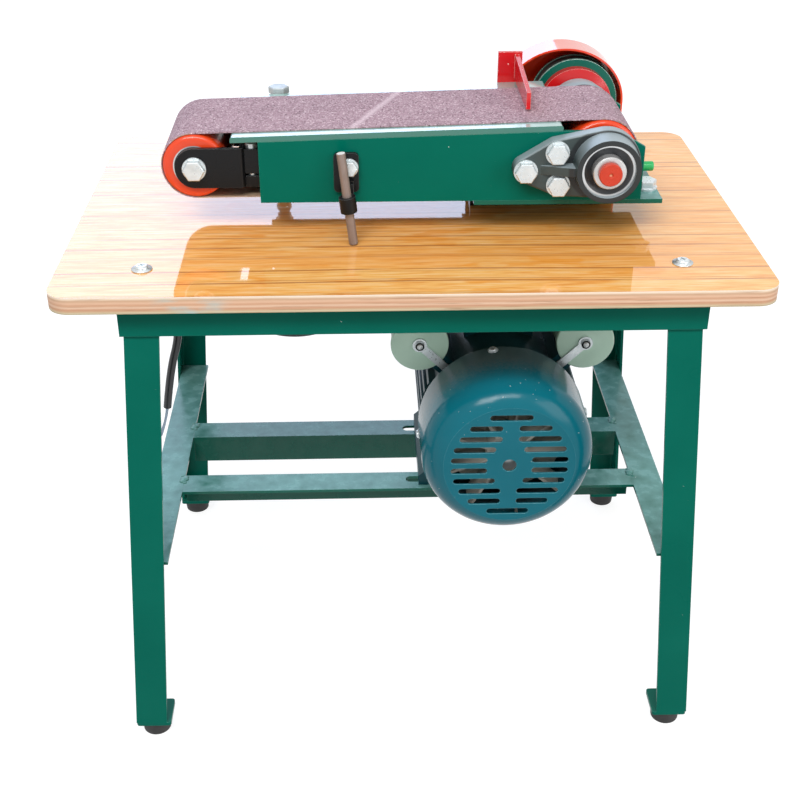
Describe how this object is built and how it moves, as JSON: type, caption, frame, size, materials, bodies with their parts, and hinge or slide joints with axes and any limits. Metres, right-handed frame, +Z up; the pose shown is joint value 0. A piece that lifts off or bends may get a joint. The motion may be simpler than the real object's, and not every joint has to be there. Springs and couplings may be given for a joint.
{
  "type": "bench belt sander",
  "caption": "Belt sander head on a wood-grain table with a splayed angle-iron stand, driven by a vee belt from a foot-mounted motor below.",
  "frame": {"origin": "on the floor, under the middle of the table", "axes": "+X to the right along the sanding belt, +Y to the back, +Z up"},
  "size_m": [0.61, 0.4188, 0.6117],
  "materials": {
    "plywood": "raw multi-ply edge",
    "laminate": "printed wood-grain laminate",
    "green_paint": "gloss brushed-on green",
    "black_paint": "satin black",
    "orange_paint": "gloss orange",
    "orange_tyre": "gloss cast polyurethane",
    "red_paint": "gloss red",
    "teal_paint": "gloss teal motor enamel",
    "cast_grey": "grey hammered enamel on cast iron",
    "zinc_steel": "bright zinc plate",
    "bare_steel": "ground steel",
    "brown_steel": "browned bare steel",
    "alloy": "turned",
    "can_alloy": "pale green lacquer",
    "cap_plastic": "pale green moulded",
    "bright_cap": "bright green vinyl",
    "fan_plastic": "pale grey moulded",
    "black_plastic": "moulded",
    "rubber": "matt moulded",
    "sheath": "smooth black sheath",
    "wire_sleeve": "thin insulated wire",
    "abrasive": "coated abrasive cloth",
    "core_steel": "laminated"
  },
  "bodies": {
    "bench": {"table_core": "plywood", "table_laminate": "laminate", "table_screws": "zinc_steel", "long_aprons": "green_paint", "side_aprons": "green_paint", "legs": "green_paint", "rubber_feet": "rubber", "side_rails": "green_paint", "motor_rails": "green_paint", "motor_housing": "teal_paint", "end_shield_fan": "teal_paint", "end_shield_drive": "teal_paint", "motor_bearings": "bare_steel", "fan_cover": "teal_paint", "cover_screws": "zinc_steel", "terminal_box": "black_paint", "capacitors": "can_alloy", "capacitor_caps": "cap_plastic", "capacitor_straps": "zinc_steel", "motor_bolts": "zinc_steel", "cable_gland": "black_plastic", "motor_lead": "sheath", "lead_wires": "wire_sleeve", "cable_clips": "black_plastic", "v_belt": "rubber", "belt_guard": "orange_paint", "guard_screws": "zinc_steel", "base_plate": "green_paint", "pedestal": "black_paint", "base_screws": "zinc_steel", "side_plate_front": "green_paint", "side_plate_rear": "green_paint", "platen": "green_paint", "bearing_housings": "cast_grey", "bearing_inserts": "bare_steel", "hex_bolts": "zinc_steel", "slide_block": "green_paint", "sanding_belt": "abrasive", "stop_fence": "red_paint", "capped_screw": "zinc_steel", "screw_cap": "bright_cap", "lock_bolt": "zinc_steel"},
    "rotor": {"rotor_shaft": "bare_steel", "rotor_core": "core_steel", "cooling_fan": "fan_plastic", "motor_pulley": "alloy"},
    "spindle": {"drive_shaft": "bare_steel", "drive_drum": "orange_tyre", "driven_pulley": "green_paint", "pulley_hub": "red_paint", "inner_rings": "bare_steel"},
    "yoke": {"idler_yoke": "black_paint", "yoke_block": "black_paint", "tracking_pins": "zinc_steel", "guide_bars": "black_paint", "idler_axle": "zinc_steel"},
    "idler": {"idler_roller": "orange_tyre", "idler_bearings": "bare_steel"},
    "prop_arm": {"prop_bracket": "black_paint"},
    "prop": {"prop_rod": "brown_steel"}
  },
  "joints": [
    {"name": "motor_spin", "type": "hinge", "parent": "bench", "child": "rotor", "pos_m": [0.09, 0, 0.285], "axis": [0, 1, 0], "continuous": true},
    {"name": "spindle_spin", "type": "hinge", "parent": "bench", "child": "spindle", "pos_m": [0.169, 0, 0.5525], "axis": [0, 1, 0], "continuous": true},
    {"name": "idler_tension", "type": "slide", "parent": "bench", "child": "yoke", "axis": [1, 0, 0], "range_m": [0, 0.012]},
    {"name": "idler_spin", "type": "hinge", "parent": "yoke", "child": "idler", "pos_m": [-0.19012, 0, 0.5465], "axis": [0, 1, 0], "continuous": true},
    {"name": "prop_pivot", "type": "hinge", "parent": "bench", "child": "prop_arm", "pos_m": [-0.0543, -0.0833, 0.55], "axis": [0, 1, 0], "range_deg": [-20, 20]},
    {"name": "prop_slide", "type": "slide", "parent": "prop_arm", "child": "prop", "axis": [-0.1149, 0, 0.9934], "range_m": [0, 0.025]}
  ],
  "couplings": [
    {"joint": "spindle_spin", "follows": "motor_spin", "ratio": 1.0811},
    {"joint": "idler_spin", "follows": "motor_spin", "ratio": 1.2287}
  ]
}
